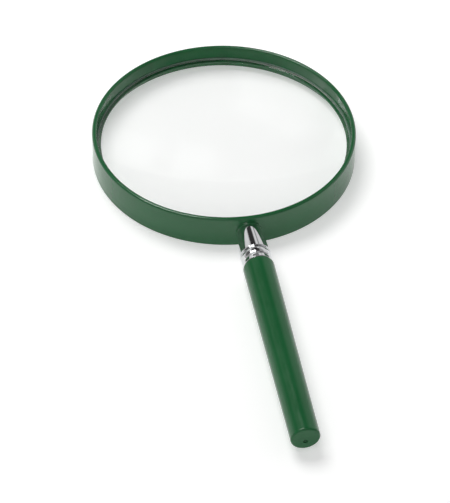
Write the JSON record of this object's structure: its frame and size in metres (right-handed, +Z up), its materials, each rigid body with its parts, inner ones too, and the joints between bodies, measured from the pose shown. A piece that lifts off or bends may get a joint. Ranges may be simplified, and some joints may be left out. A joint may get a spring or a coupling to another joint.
{
  "type": "hand magnifier",
  "caption": "Hand magnifier: a deep round rim with a recessed biconvex lens, a flared plated neck with a bead collar, and a tapered round handle that unscrews.",
  "frame": {"origin": "centre of the object's footprint on the plane that it rests on; the lens axis is parallel to Z, 63.45 mm along +Y, and the handle axis lies 8.25 mm above the plane at X = 0", "axes": "+Z up along the lens axis, +Y from the handle's free end towards the rim, +X to the right"},
  "size_m": [0.1308, 0.2576, 0.0165],
  "materials": {
    "green_plastic": "glossy moulded plastic, dark green, with faint flow ripple and fine handling scratches",
    "lens_glass": "clear polished glass with a fine-ground edge",
    "ring_plastic": "pale grey-green springy plastic",
    "plated": "bright nickel-chrome plate with light wear",
    "steel": "zinc-plated steel",
    "brass": "turned and knurled brass"
  },
  "bodies": {
    "rim": {"rim": "green_plastic", "lens": "lens_glass", "retaining_ring": "ring_plastic", "neck_screw": "steel", "neck_cone": "plated", "bead_collar": "plated"},
    "washer": {"waist_washer": "plated"},
    "handle": {"handle": "green_plastic", "handle_insert": "brass"}
  },
  "joints": [
    {"name": "handle_advance", "type": "slide", "parent": "rim", "child": "washer", "axis": [0, -1, 0], "range_m": [0, 0.0096]},
    {"name": "handle_unscrew", "type": "hinge", "parent": "washer", "child": "handle", "pos_m": [0, -0.06, 0.00825], "axis": [0, -1, 0], "range_deg": [0, 4320]}
  ],
  "couplings": [
    {"joint": "handle_unscrew", "follows": "handle_advance", "rad_per_m": 7854}
  ]
}
